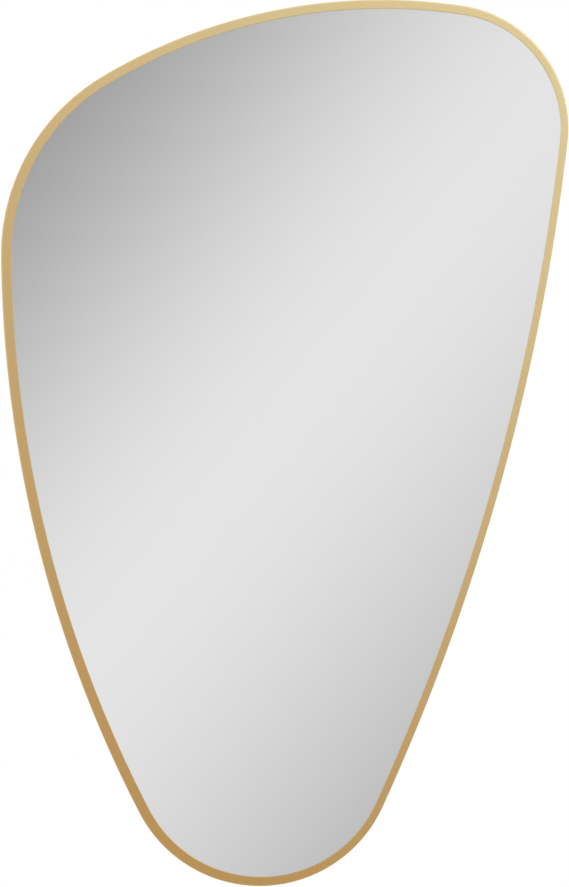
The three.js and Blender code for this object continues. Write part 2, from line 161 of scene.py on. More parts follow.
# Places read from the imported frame.
frame_low, frame_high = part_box("frame_channel")
pane_low, pane_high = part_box("mirror_glass")
board_low, board_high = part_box("backing_board")
FRAME_FRONT = frame_low.y
FRAME_REAR = frame_high.y
FLANGE_FRONT = FRAME_REAR - FRAME_WALL
ON_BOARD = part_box("spring_clip_1")[0].y

# ---------------------------------------------------------------- colours

# Gold of the frame: deep at the lower left, paler at the upper right, where a highlight is painted
# into the colour.
GOLD_DEEP = (0.63, 0.378, 0.132)
GOLD_PAINTED_HIGHLIGHT = (0.80, 0.648, 0.343)
GOLD_DARK = (0.53, 0.38, 0.17)
SILVER_WARM = (0.904, 0.90, 0.897)
SILVER_COOL = (0.897, 0.90, 0.904)
GLASS_EDGE_DARK = (0.22, 0.42, 0.36)
GLASS_EDGE_PALE = (0.42, 0.62, 0.55)
PAINT_DARK = (0.2, 0.21, 0.22)
PAINT_PALE = (0.26, 0.27, 0.28)
BLACK_FOAM_DARK = (0.012, 0.012, 0.014)
BLACK_FOAM_PALE = (0.03, 0.03, 0.034)
WHITE_FOAM_DARK = (0.62, 0.61, 0.57)
WHITE_FOAM_PALE = (0.8, 0.79, 0.75)
FIBRE_DARK = (0.43, 0.31, 0.195)
FIBRE_PALE = (0.53, 0.395, 0.26)
FIBRE_CLOUD = (0.45, 0.325, 0.205)
FIBRE_FLECK = (0.27, 0.19, 0.12)
STEEL_DARK = (0.56, 0.57, 0.59)
STEEL_PALE = (0.68, 0.69, 0.71)
STEEL_STAIN = (0.5, 0.49, 0.47)
ZINC_COOL = (0.58, 0.605, 0.64)
ZINC_STRAW = (0.66, 0.655, 0.62)
NICKEL_DARK = (0.71, 0.69, 0.65)
NICKEL_PALE = (0.79, 0.78, 0.75)
RUBBER_DARK = (0.80, 0.83, 0.83)
RUBBER_PALE = (0.88, 0.9, 0.89)
FLOOR_GREY = (0.9, 0.9, 0.9, 1)
WHITE = (1, 1, 1, 1)

# ---------------------------------------------------------------- patterns of the materials

# Painted highlight: the gold pales from its deep end to its pale end, up and to the right, where
# the light falls more strongly.
PAINTED_LIGHT_ANGLE = math.radians(55)
PAINTED_LIGHT_RANGE = (-515 * MM, 215 * MM)

# The board's fibres: their size, the ways in which they lie, how far each way is shifted in Y for
# each radian that it is turned, and how far their sum strays from its middle.
FIBRE_LENGTH = 3 * MM
FIBRE_WIDTH = 0.35 * MM
FIBRE_WAYS = 5
FIBRE_SHIFT = 1 * MM
FIBRE_STRAY = 0.35

NOISE_RANGE = (0.3, 0.7)        # most of a noise lies between these
FOAM_CELL_RANGE = (0, 0.6)      # distance from the middle of a foam cell, in cells
FLECK_RANGE = (0.70, 0.80)

# ---------------------------------------------------------------- camera, light and stage

# Camera: straight in front, with the picture just larger than the frame.
PHOTO_HEIGHT = 887
PIXEL = 0.8795 * MM             # on the frame's front face
CAMERA_DISTANCE = 3.2
CAMERA_SENSOR = 36
CAMERA_REACH = 100
VIEW_CENTRE_X = 5.9 * MM
VIEW_CENTRE_Z = -226.1 * MM

WORLD_LIGHT = 0.8               # the white surroundings light the object at this level
Lamp = namedtuple("Lamp", "name place size power")
LAMPS = (
    Lamp("key", (1.5, -2.0, 1.5), 1.8, 9),
    Lamp("back_fill", (-1.6, 2.4, 1.2), 1.8, 18),
)

# Round floor, which fades into the white surroundings between two distances from its middle.
FLOOR_Z = -1.75
FLOOR_RADII = (0.5, 2.5, 5.0, 8.0)
FLOOR_FADE = (2.5, 6.8)
FLOOR_SIDES = 96
FLOOR_ROUGHNESS = 0.85

# Two cards, curved round the mirror: one in front of it and one behind it. A ray from the camera
# that meets the pane this far from the middle meets the front card CARD_GAIN times as far from it.
MIRROR_PLANE = pane_low.y
CARD_RADIUS = 3.9
CARD_TOP = 2.6
CARD_REACH = math.radians(75)   # to each side
CARD_COLUMNS = 96
CARD_GAIN = 1 + CARD_RADIUS / (CAMERA_DISTANCE - FRAME_FRONT + MIRROR_PLANE)

# Glow of a card, as the pane shows it, where 1 is white: a base level, soft bands that follow each
# other along the tilt, and ramps that each rise to their full glow in a direction of their own.
# The front card's bands are what the pane shows from the front, and its ramps start at the edge
# of that window. Places are on the pane, from the middle of the picture. At its foot a card takes
# on the glow of the floor, so that no line shows where they meet.
Band = namedtuple("Band", "middle width glow")
Ramp = namedtuple("Ramp", "direction start end glow")
CARD_TILT = math.radians(140)
FRONT_BASE = 0.02
FRONT_BANDS = (
    Band(-27 * MM, 427 * MM, 0.69),
    Band(62 * MM, 159 * MM, 0.08),
)
FRONT_RAMPS = (
    Ramp(CARD_TILT, 335 * MM, 685 * MM, 0.97),
    Ramp(0, 245 * MM, 595 * MM, 0.62),
)
REAR_BASE = 0.45
REAR_RAMPS = (Ramp(math.radians(70), -300 * MM, 900 * MM, 0.5),)
FLOOR_SHARE = Ramp(-QUARTER_TURN, 390 * MM, 690 * MM, 1.0)
FLOOR_GLOW = 0.745
PANE_REFLECTS = 0.9             # share of the light that the pane throws back

# ---------------------------------------------------------------- smooth outlines

Station = namedtuple("Station", "x z nx nz along")


class Arc:
    """Clockwise arc in X and Z."""

    def __init__(self, x, z, radius, start, end):
        self.x = x
        self.z = z
        self.radius = radius
        self.start = start
        self.length = radius * ((start - end) % TURN)

    def at(self, distance):
        """Point at a distance along the arc, and its outward normal."""
        angle = self.start - distance / self.radius
        nx = math.cos(angle)
        nz = math.sin(angle)
        return self.x + self.radius * nx, self.z + self.radius * nz, nx, nz


def side_between(a, b):
    """Long arc that corner circles a and b touch from inside, and its angles at both."""
    distance = math.hypot(b.x - a.x, b.z - a.z)
    ux = (b.x - a.x) / distance
    uz = (b.z - a.z) / distance
    to_a = a.side_radius - a.radius
    to_b = a.side_radius - b.radius
    along = (to_a ** 2 - to_b ** 2 + distance ** 2) / (2 * distance)
    across = math.sqrt(to_a ** 2 - along ** 2)
    x = a.x + ux * along + uz * across
    z = a.z + uz * along - ux * across
    leave = math.atan2(a.z - z, a.x - x)
    meet = math.atan2(b.z - z, b.x - x)
    return Arc(x, z, a.side_radius, leave, meet), leave, meet


class Outline:
    """Closed row of arcs that run smoothly into each other."""

    def __init__(self, corners):
        sides = [side_between(a, b) for a, b in zip(corners, corners[1:] + corners[:1])]
        self.pieces = []
        for i, corner in enumerate(corners):
            side, leave, _ = sides[i]
            arrive = sides[i - 1][2]
            self.pieces.append(Arc(corner.x, corner.z, corner.radius, arrive, leave))
            self.pieces.append(side)
        self.length = sum(piece.length for piece in self.pieces)

    def at(self, distance):
        left = distance % self.length
        for piece in self.pieces:
            if left <= piece.length:
                return Station(*piece.at(left), distance)
            left -= piece.length
        return Station(*self.pieces[0].at(0), distance)

    def stations(self, start, end, step):
        count = max(2, round((end - start) / step))
        return [self.at(start + (end - start) * i / count) for i in range(count + 1)]


RIM = Outline([BOTTOM, TOP_LEFT, TOP_RIGHT])
_, _, first_nx, first_nz = RIM.pieces[0].at(0)
# The bottom corner's arc runs clockwise from its right end, through its lowest point.
SEAM = BOTTOM.radius * (math.atan2(first_nz, first_nx) + QUARTER_TURN)


def inward(station, inset, opening_share=0.0):
    """Point of the rim moved inwards; a share of 1 also moves it with the lip's opening."""
    x = station.x - station.nx * inset + LIP_SHIFT_RIGHT * opening_share
    z = station.z - station.nz * inset
    return x, z


def rim_matrix(distance, inset, y):
    """Place on the rim whose X follows the rim and whose Z points outwards."""
    station = RIM.at(distance)
    x, z = inward(station, inset)
    return Matrix((
        (station.nz, 0, station.nx, x),
        (0, 1, 0, y),
        (-station.nx, 0, station.nz, z),
        (0, 0, 0, 1),
    ))


# ---------------------------------------------------------------- mesh helpers

def arc_points(centre_u, centre_v, radius, start, end, steps):
    return [
        (centre_u + radius * math.cos(start + (end - start) * i / steps),
         centre_v + radius * math.sin(start + (end - start) * i / steps))
        for i in range(steps + 1)
    ]


def shade(mesh):
    """Smooth faces, sharp only where the surface turns by more than the sharp angle."""
    mesh.shade_smooth()
    mesh.set_sharp_from_angle(angle=SHARP_ANGLE)


def new_object(name, vertices, faces, uvs=None):
    mesh = bpy.data.meshes.new(name)
    mesh.from_pydata(vertices, [], faces)
    if uvs is not None:
        layer = mesh.uv_layers.new(name="along")
        layer.data.foreach_set("uv", [value for face in uvs for corner in face for value in corner])
    shape = bmesh.new()
    shape.from_mesh(mesh)
    bmesh.ops.recalc_face_normals(shape, faces=shape.faces)
    shape.to_mesh(mesh)
    shape.free()
    shade(mesh)
    thing = bpy.data.objects.new(name, mesh)
    bpy.context.scene.collection.objects.link(thing)
    return thing


def copy_of(pattern, name):
    made = pattern.copy()
    made.name = name
    made.data = pattern.data.copy()
    made.data.name = name
    bpy.context.scene.collection.objects.link(made)
    return made


def lofted(name, rows, closed_rows=False, closed_columns=True, caps=True,
           uv_rows=None, uv_columns=None):
    """Surface through rows of points; caps close its first and last row."""
    count = len(rows[0])
    vertices = [point for row in rows for point in row]
    faces = []
    uvs = []
    last_row = len(rows) if closed_rows else len(rows) - 1
    last_column = count if closed_columns else count - 1
    for i in range(last_row):
        for j in range(last_column):
            below = i * count
            above = ((i + 1) % len(rows)) * count
            right = (j + 1) % count
            faces.append((below + j, below + right, above + right, above + j))
            if uv_rows:
                u0, u1 = uv_rows[i], uv_rows[i + 1]
                v0, v1 = uv_columns[j], uv_columns[j + 1]
                uvs.append(((u0, v0), (u0, v1), (u1, v1), (u1, v0)))
    if caps:
        final = (len(rows) - 1) * count
        faces.append(tuple(range(count)))
        faces.append(tuple(range(final, final + count)))
        if uv_rows:
            uvs.append(tuple((uv_rows[0], v) for v in uv_columns[:count]))
            uvs.append(tuple((uv_rows[-1], v) for v in uv_columns[:count]))
    return new_object(name, vertices, faces, uvs if uv_rows else None)


def running_length(points):
    """Distance from the first of a ring of points to each point, and once round."""
    lengths = [0.0]
    for a, b in zip(points, points[1:] + points[:1]):
        lengths.append(lengths[-1] + math.dist(a, b))
    return lengths


def turned(name, profile, sides):
    """Body of revolution round Y from (radius, height) points that start and end on the axis."""
    rows = []
    for radius, height in profile[1:-1]:
        rows.append([
            (radius * math.cos(TURN * i / sides), height, radius * math.sin(TURN * i / sides))
            for i in range(sides)
        ])
    vertices = [point for row in rows for point in row]
    bottom = len(vertices)
    top = bottom + 1
    vertices += [(0, profile[0][1], 0), (0, profile[-1][1], 0)]
    faces = []
    for i in range(len(rows) - 1):
        below = i * sides
        above = below + sides
        for j in range(sides):
            right = (j + 1) % sides
            faces.append((below + j, below + right, above + right, above + j))
    last = (len(rows) - 1) * sides
    for j in range(sides):
        right = (j + 1) % sides
        faces.append((bottom, right, j))
        faces.append((top, last + j, last + right))
    return new_object(name, vertices, faces)


def rod(name, radius, low, high, x, z):
    """Cylinder along Y, for cutting a hole."""
    tool = turned(name, [(0, low), (radius, low), (radius, high), (0, high)], DRILL_SIDES)
    tool.location = (x, 0, z)
    return tool


def applied(thing):
    """Turns the modifiers of an object into its mesh."""
    depsgraph = bpy.context.evaluated_depsgraph_get()
    mesh = bpy.data.meshes.new_from_object(thing.evaluated_get(depsgraph))
    mesh.name = thing.name
    thing.modifiers.clear()
    thing.data = mesh


def keep_flats_flat(thing):
    """Lets large faces keep their own direction, so that only the rounds look curved."""
    thing.modifiers.new("flats", "WEIGHTED_NORMAL").keep_sharp = True
    applied(thing)


def bevelled(thing, width):
    bevel = thing.modifiers.new("bevel", "BEVEL")
    bevel.width = width
    bevel.segments = BEVEL_SEGMENTS
    bevel.limit_method = "ANGLE"
    bevel.angle_limit = BEVEL_ANGLE
    applied(thing)
    shade(thing.data)


def cut_away(thing, tools):
    for tool in tools:
        cut = thing.modifiers.new("cut", "BOOLEAN")
        cut.operation = "DIFFERENCE"
        cut.solver = "EXACT"
        cut.object = tool
    applied(thing)
    shade(thing.data)
    for tool in tools:
        bpy.data.objects.remove(tool)


def dressed(thing, materials, node, body="mirror"):
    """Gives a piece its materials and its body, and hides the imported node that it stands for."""
    keep_flats_flat(thing)
    thing.data.materials.clear()
    for material in materials:
        thing.data.materials.append(material)
    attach(thing, body)
    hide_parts(node)


# ---------------------------------------------------------------- material helpers

def feed(tree, socket, value):
    """Links a socket to another one, or sets it to a value."""
    if isinstance(value, bpy.types.NodeSocket):
        tree.links.new(value, socket)
    else:
        socket.default_value = value


def add_node(tree, kind, settings=None, **inputs):
    """Node with its settings and inputs; an underscore in an input's name stands for a space."""
    made = tree.nodes.new(kind)
    for key, value in (settings or {}).items():
        setattr(made, key, value)
    for key, value in inputs.items():
        feed(tree, made.inputs[key.replace("_", " ")], value)
    return made


def arithmetic(tree, operation, first, second):
    made = add_node(tree, "ShaderNodeMath", {"operation": operation})
    feed(tree, made.inputs[0], first)
    feed(tree, made.inputs[1], second)
    return made.outputs["Value"]


def measured(tree, place, direction):
    """How far a place lies in a direction, which has a length of 1."""
    made = add_node(tree, "ShaderNodeVectorMath", {"operation": "DOT_PRODUCT"})
    feed(tree, made.inputs[0], place)
    feed(tree, made.inputs[1], direction)
    return made.outputs["Value"]


class Shader:
    """A node material with one Principled BSDF, and short ways to add nodes to it."""

    def __init__(self, name, **settings):
        self.material = bpy.data.materials.new(name)
        self.material.use_nodes = True
        self.tree = self.material.node_tree
        self.surface = self.tree.nodes["Principled BSDF"]
        for socket, value in settings.items():
            self.surface.inputs[socket.replace("_", " ")].default_value = value

    def node(self, kind, settings=None, **inputs):
        return add_node(self.tree, kind, settings, **inputs)

    def place(self):
        """Position on the object, in metres."""
        return self.node("ShaderNodeTexCoord").outputs["Object"]

    def fibre_place(self, angle):
        """Position on the object, counted in fibres that lie at an angle in X and Z."""
        return self.node("ShaderNodeMapping", {"vector_type": "TEXTURE"}, Vector=self.place(),
                         Location=(0, angle * FIBRE_SHIFT, 0), Rotation=(0, angle, 0),
                         Scale=(FIBRE_LENGTH, FIBRE_WIDTH, FIBRE_WIDTH)).outputs["Vector"]

    def along(self, lengthwise, crosswise):
        """Position along and across a swept piece, in metres, each times a factor."""
        position = self.node("ShaderNodeUVMap", {"uv_map": "along"}).outputs["UV"]
        scale = (lengthwise, crosswise, 1)
        return self.node("ShaderNodeMapping", Vector=position, Scale=scale).outputs["Vector"]

    def noise(self, place, scale, detail, roughness=0.5):
        """Cloudy pattern; its scale counts the clouds in a metre of the place."""
        return self.node("ShaderNodeTexNoise", Vector=place, Scale=scale, Detail=detail,
                         Roughness=roughness).outputs["Fac"]

    def span(self, value, low, high, source=NOISE_RANGE):
        """Maps a source range of values onto a range of numbers."""
        return self.node("ShaderNodeMapRange", Value=value, From_Min=source[0],
                         From_Max=source[1], To_Min=low, To_Max=high).outputs["Result"]

    def blend(self, pattern, first, second, most=1, source=NOISE_RANGE):
        """Colour that a pattern leads from a first one to at most this share of a second."""
        made = self.node("ShaderNodeMix", {"data_type": "RGBA"},
                         Factor=self.span(pattern, 0, most, source))
        for name, colour in (("A", first), ("B", second)):
            socket = next(s for s in made.inputs if s.name == name and s.type == "RGBA")
            is_link = isinstance(colour, bpy.types.NodeSocket)
            feed(self.tree, socket, colour if is_link else (*colour, 1))
        return next(s for s in made.outputs if s.type == "RGBA")

    def colour(self, colour):
        feed(self.tree, self.surface.inputs["Base Color"], colour)

    def rough(self, pattern, low, high, source=NOISE_RANGE):
        feed(self.tree, self.surface.inputs["Roughness"], self.span(pattern, low, high, source))

    def bump(self, height, depth, strength=1.0):
        made = self.node("ShaderNodeBump", Height=height, Distance=depth, Strength=strength)
        feed(self.tree, self.surface.inputs["Normal"], made.outputs["Normal"])


# ---------------------------------------------------------------- materials

def satin_gold():
    """Anodised aluminium: fine drawing lines along the channel, and a slow drift from deep gold to
    a painted highlight up and to the right.
    """
    s = Shader("satin_gold", Metallic=1.0)
    direction = (math.cos(PAINTED_LIGHT_ANGLE), 0, math.sin(PAINTED_LIGHT_ANGLE))
    # Painted light: the colour pales towards the upper right, where the light falls.
    painted_light = measured(s.tree, s.place(), direction)
    gold = s.blend(painted_light, GOLD_DEEP, GOLD_PAINTED_HIGHLIGHT, source=PAINTED_LIGHT_RANGE)
    cloud = s.noise(s.place(), scale=14, detail=2)
    s.colour(s.blend(cloud, gold, GOLD_DARK, most=0.05))
    lines = s.noise(s.along(lengthwise=60, crosswise=9000), scale=1, detail=2)
    s.rough(lines, 0.37, 0.43)
    s.bump(lines, depth=0.002 * MM, strength=0.4)
    return s.material


def silvered_face():
    """Silvered glass seen from the front, with a trace of haze."""
    s = Shader("silvered_face", Metallic=1.0)
    haze = s.noise(s.place(), scale=9, detail=4)
    s.colour(s.blend(haze, SILVER_WARM, SILVER_COOL))
    s.rough(haze, 0.004, 0.012)
    return s.material


def glass_edge():
    """Ground edge of float glass: matt and green."""
    s = Shader("glass_edge", IOR=1.52)
    grind = s.noise(s.place(), scale=2500, detail=2)
    s.colour(s.blend(grind, GLASS_EDGE_DARK, GLASS_EDGE_PALE))
    s.rough(grind, 0.25, 0.5)
    s.bump(grind, depth=0.02 * MM)
    return s.material


def backing_paint():
    """Grey paint on the back of the silvering."""
    s = Shader("backing_paint")
    coat = s.noise(s.place(), scale=60, detail=5)
    s.colour(s.blend(coat, PAINT_DARK, PAINT_PALE))
    s.rough(coat, 0.55, 0.7)
    return s.material


def foam(name, dark, pale):
    """Closed-cell foam."""
    s = Shader(name)
    cells = s.node("ShaderNodeTexVoronoi", Vector=s.place(), Scale=1800).outputs["Distance"]
    s.colour(s.blend(cells, dark, pale, source=FOAM_CELL_RANGE))
    s.rough(cells, 0.95, 0.8, FOAM_CELL_RANGE)
    s.bump(cells, depth=0.08 * MM)
    return s.material


def fibreboard_face():
    """Raw fibreboard: pressed fibres lying every way, a few dark flecks."""
    s = Shader("fibreboard_face")
    fibres = 0.0
    for i in range(FIBRE_WAYS):
        place = s.fibre_place(HALF_TURN * i / FIBRE_WAYS)
        layer = s.noise(place, scale=1, detail=3, roughness=0.6)
        fibres = arithmetic(s.tree, "ADD", layer, fibres)
    middle = FIBRE_WAYS / 2
    fibre_range = (middle - FIBRE_STRAY, middle + FIBRE_STRAY)
    board = s.blend(fibres, FIBRE_DARK, FIBRE_PALE, source=fibre_range)
    cloud = s.noise(s.place(), scale=16, detail=4)
    board = s.blend(cloud, board, FIBRE_CLOUD, most=0.5)
    flecks = s.noise(s.place(), scale=900, detail=2)
    s.colour(s.blend(flecks, board, FIBRE_FLECK, most=0.6, source=FLECK_RANGE))
    s.rough(fibres, 0.86, 0.74, fibre_range)
    s.bump(fibres, depth=0.03 * MM, strength=0.5)
    return s.material


def rolled_steel():
    """Bright spring steel with rolling lines along each strip."""
    s = Shader("rolled_steel", Metallic=1.0)
    lines = s.noise(s.along(lengthwise=120, crosswise=12000), scale=1, detail=3)
    stains = s.noise(s.place(), scale=180, detail=3)
    bright = s.blend(lines, STEEL_DARK, STEEL_PALE)
    s.colour(s.blend(stains, bright, STEEL_STAIN, most=0.5))
    s.rough(lines, 0.24, 0.4)
    s.bump(lines, depth=0.004 * MM)
    return s.material


def bright_zinc():
    """Zinc plating: a cool grey with a faint straw bloom."""
    s = Shader("bright_zinc", Metallic=1.0)
    bloom = s.noise(s.place(), scale=260, detail=4)
    s.colour(s.blend(bloom, ZINC_COOL, ZINC_STRAW))
    grain = s.noise(s.place(), scale=4200, detail=2)
    s.rough(grain, 0.26, 0.42)
    s.bump(grain, depth=0.01 * MM, strength=0.5)
    return s.material


def nickel_wire():
    """Nickel plating, a little worn."""
    s = Shader("nickel_wire", Metallic=1.0)
    wear = s.noise(s.place(), scale=500, detail=3)
    s.colour(s.blend(wear, NICKEL_DARK, NICKEL_PALE))
    s.rough(wear, 0.14, 0.26)
    s.bump(wear, depth=0.006 * MM, strength=0.5)
    return s.material


def clear_rubber():
    """Soft, slightly cloudy polyurethane."""
    s = Shader("clear_rubber", Transmission_Weight=0.55, IOR=1.45)
    cloud = s.noise(s.place(), scale=350, detail=3)
    s.colour(s.blend(cloud, RUBBER_DARK, RUBBER_PALE))
    s.rough(cloud, 0.3, 0.42)
    return s.material


# ---------------------------------------------------------------- frame

def channel_profile():
    """Section of the channel as (inset, y, share of the opening's shift), in order round it."""
    outer = OUTER_BEND
    inner = INNER_BEND
    edge = EDGE_ROUND
    lip_back = FRAME_FRONT + FRAME_WALL
    lip_in = LIP_WIDTH - edge
    flange_in = REAR_FLANGE - edge
    hollow_in = FRAME_WALL + inner
    bead_in = LIP_WIDTH - BEAD_WIDTH
    bead_back = pane_low.y - BEAD_CLEARANCE

    lip_front_edge = arc_points(lip_in, FRAME_FRONT + edge, edge, 0, -QUARTER_TURN, EDGE_STEPS)
    channel = arc_points(outer, FRAME_FRONT + outer, outer, -QUARTER_TURN, -HALF_TURN, BEND_STEPS)
    channel += arc_points(outer, FRAME_REAR - outer, outer, HALF_TURN, QUARTER_TURN, BEND_STEPS)
    channel += arc_points(flange_in, FRAME_REAR - edge, edge, QUARTER_TURN, 0, EDGE_STEPS)
    channel += arc_points(flange_in, FLANGE_FRONT + edge, edge, 0, -QUARTER_TURN, EDGE_STEPS)
    channel += arc_points(hollow_in, FLANGE_FRONT - inner, inner,
                          QUARTER_TURN, HALF_TURN, EDGE_STEPS)
    channel += arc_points(hollow_in, lip_back + inner, inner,
                          HALF_TURN, HALF_TURN + QUARTER_TURN, EDGE_STEPS)
    bead = [(bead_in, lip_back), (bead_in, bead_back)]
    bead += arc_points(lip_in, bead_back - edge, edge, QUARTER_TURN, 0, EDGE_STEPS)
    return (
        [(inset, y, 1.0) for inset, y in lip_front_edge]
        + [(inset, y, 0.0) for inset, y in channel]
        + [(inset, y, 1.0) for inset, y in bead]
    )


def build_frame(gold):
    start = SEAM + SEAM_GAP / 2
    end = SEAM + RIM.length - SEAM_GAP / 2
    stations = RIM.stations(start, end, OUTLINE_STEP)
    profile = channel_profile()
    rows = []
    for station in stations:
        places = [(inward(station, inset, share), y) for inset, y, share in profile]
        rows.append([(x, y, z) for (x, z), y in places])
    across = running_length([(inset, y) for inset, y, _ in profile])
    along = [station.along for station in stations]
    piece = lofted("frame", rows, uv_rows=along, uv_columns=across)
    dressed(piece, [gold], "frame_channel")


# ---------------------------------------------------------------- pane and board

def plate_rows(inset, front, back, arris):
    """Rings of points over the rounded front edge, the rim and the rounded back edge of a plate."""
    edge = arc_points(arris, front + arris, arris, -QUARTER_TURN, -HALF_TURN, EDGE_STEPS)
    edge += arc_points(arris, back - arris, arris, HALF_TURN, QUARTER_TURN, EDGE_STEPS)
    stations = RIM.stations(0, RIM.length, OUTLINE_STEP)[:-1]
    rows = []
    for extra, y in edge:
        places = [inward(station, inset + extra) for station in stations]
        rows.append([(x, y, z) for x, z in places])
    return rows


def build_pane(silver, edge, paint):
    piece = lofted("pane", plate_rows(PANE_INSET, pane_low.y, pane_high.y, PANE_ARRIS))
    materials = [silver, edge, paint]
    dressed(piece, materials, "mirror_glass")
    for face in piece.data.polygons:
        if abs(face.normal.y) <= FLAT_FACE:
            chosen = edge
        elif face.normal.y < 0:
            chosen = silver
        else:
            chosen = paint
        face.material_index = materials.index(chosen)


def build_board(fibreboard):
    piece = lofted("board", plate_rows(BOARD_INSET, board_low.y, board_high.y, BOARD_ARRIS))
    hole = WOOD_SCREW.shank + SCREW_CLEARANCE
    depth = WOOD_SCREW.length - STRAP_THICKNESS + SCREW_CLEARANCE
    tools = []
    for side in ("left", "right"):
        pivot = strap_pivot(side)
        for drop in SCREW_DROPS:
            tools.append(rod("drill", hole, board_high.y - depth, board_high.y + depth,
                             pivot.x, pivot.z - drop))
    cut_away(piece, tools)
    dressed(piece, [fibreboard], "backing_board")


# ---------------------------------------------------------------- springs

def spring_mesh():
    """Bowed strip with rounded corners, standing on Y = 0 with its width along -Z."""
    rise = FLANGE_FRONT - ON_BOARD - SPRING_CLEARANCE
    radius = (SPRING_LENGTH ** 2 / 4 + rise ** 2) / (2 * rise)
    centre = rise - radius
    reach = QUARTER_TURN - math.asin(-centre / radius)
    arc_length = 2 * reach * radius
    rows = []
    for i in range(SPRING_STEPS + 1):
        share = 0.5 - 0.5 * math.cos(HALF_TURN * i / SPRING_STEPS)
        angle = reach * (1 - 2 * share)
        to_end = min(share, 1 - share) * arc_length
        notch = 0.0
        if to_end < SPRING_CORNER:
            notch = SPRING_CORNER - math.sqrt(SPRING_CORNER ** 2 - (SPRING_CORNER - to_end) ** 2)
        low = -SPRING_WIDTH + notch
        high = -notch
        row = []
        for r, z in ((radius, low), (radius, high),
                     (radius - SPRING_THICKNESS, high), (radius - SPRING_THICKNESS, low)):
            row.append((-r * math.sin(angle), max(0.0, centre + r * math.cos(angle)), z))
        rows.append(row)
    along = [i / SPRING_STEPS * arc_length for i in range(SPRING_STEPS + 1)]
    across = [0, SPRING_WIDTH, SPRING_WIDTH + SPRING_THICKNESS, 2 * SPRING_WIDTH + SPRING_THICKNESS,
              2 * SPRING_WIDTH + 2 * SPRING_THICKNESS]
    pattern = lofted("spring_pattern", rows, uv_rows=along, uv_columns=across)
    bevelled(pattern, SPRING_BEVEL)
    return pattern


def build_springs(steel):
    pattern = spring_mesh()
    for i in range(SPRING_COUNT):
        distance = SEAM + RIM.length * (i + 0.5) / SPRING_COUNT
        spring = copy_of(pattern, f"spring_{i + 1}")
        spring.matrix_world = rim_matrix(distance, SPRING_INSET, ON_BOARD)
        dressed(spring, [steel], f"spring_clip_{i + 1}")
    bpy.data.objects.remove(pattern)


# ---------------------------------------------------------------- hangers

def strap_pivot(side):
    """Middle of the ring's straight leg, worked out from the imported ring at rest."""
    low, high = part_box(f"hanger_ring_{side}")
    joint = next(j for j in frame["joints"] if j["child"] == f"ring_{side}")
    return Vector(((low.x + high.x) / 2, joint["pos_m"][1], joint["pos_m"][2]))


def strap_path():
    """Middle of the sheet as (y, z, normal y, normal z), up the flat part and round the eye."""
    middle = (EYE_INNER + EYE_OUTER) / 2
    path = []
    for i in range(STRAP_STEPS):
        z = -STRAP_LENGTH * (1 + math.cos(HALF_TURN * i / STRAP_STEPS)) / 2
        path.append((-middle, z, 1.0, 0.0))
    for i in range(EYE_STEPS + 1):
        angle = HALF_TURN + (EYE_END_ANGLE - HALF_TURN) * i / EYE_STEPS
        path.append((middle * math.cos(angle), middle * math.sin(angle),
                     -math.cos(angle), -math.sin(angle)))
    return path


def strap_mesh():
    """Sheet strap, rolled into an eye round the origin, with the flat part hanging down."""
    half = STRAP_THICKNESS / 2
    rows = []
    for y, z, ny, nz in strap_path():
        width = STRAP_WIDTH / 2
        above_end = z + STRAP_LENGTH
        if above_end < width:
            width = math.sqrt(max(width ** 2 - (width - above_end) ** 2, STRAP_TIP ** 2))
        rows.append([
            (-width, y - ny * half, z - nz * half),
            (width, y - ny * half, z - nz * half),
            (width, y + ny * half, z + nz * half),
            (-width, y + ny * half, z + nz * half),
        ])
    strap = lofted("strap_pattern", rows)
    bevelled(strap, STRAP_BEVEL)
    hole = WOOD_SCREW.shank + SCREW_CLEARANCE
    cut_away(strap, [rod("drill", hole, -2 * EYE_OUTER, 0, 0, -drop) for drop in SCREW_DROPS])
    return strap


def ring_mesh():
    """D-shaped ring of round wire, hanging from the middle of its straight leg."""
    reach = RING_WIDTH / 2
    corner = RING_CORNER
    path = arc_points(corner - reach, -corner, corner, HALF_TURN, QUARTER_TURN, RING_CORNER_STEPS)
    path += arc_points(reach - corner, -corner, corner, QUARTER_TURN, 0, RING_CORNER_STEPS)
    path += arc_points(0, reach - RING_HEIGHT, reach, 0, -HALF_TURN, RING_BOW_STEPS)
    rows = []
    for i, (x, z) in enumerate(path):
        before = path[i - 1]
        after = path[(i + 1) % len(path)]
        tangent = Vector((after[0] - before[0], after[1] - before[1])).normalized()
        row = []
        for j in range(WIRE_SIDES):
            angle = TURN * j / WIRE_SIDES
            out = WIRE_RADIUS * math.cos(angle)
            back = WIRE_RADIUS * math.sin(angle)
            row.append((x - tangent.y * out, back, z + tangent.x * out))
        rows.append(row)
    return lofted("ring_pattern", rows, closed_rows=True, caps=False)


def build_hangers(zinc, nickel):
    strap = strap_mesh()
    ring = ring_mesh()
    screw = screw_mesh(WOOD_SCREW, "wood_screw_pattern")
    for side in ("left", "right"):
        pivot = strap_pivot(side)
        made = copy_of(strap, f"strap_{side}")
        made.location = pivot
        dressed(made, [zinc], f"hanger_strap_{side}")
        made = copy_of(ring, f"ring_{side}")
        made.location = pivot
        dressed(made, [nickel], f"hanger_ring_{side}", f"ring_{side}")
        for number, drop in enumerate(SCREW_DROPS, start=1):
            node = f"hanger_screw_{side}_{number}"
            made = copy_of(screw, f"wood_screw_{side}_{number}")
            made.location = (pivot.x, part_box(node)[1].y - WOOD_SCREW.height, pivot.z - drop)
            turn = WOOD_SCREW_START[side] + WOOD_SCREW_TURN * number
            made.rotation_euler.y = math.radians(turn)
            dressed(made, [zinc], node)
    for pattern in (strap, ring, screw):
        bpy.data.objects.remove(pattern)


# ---------------------------------------------------------------- screws

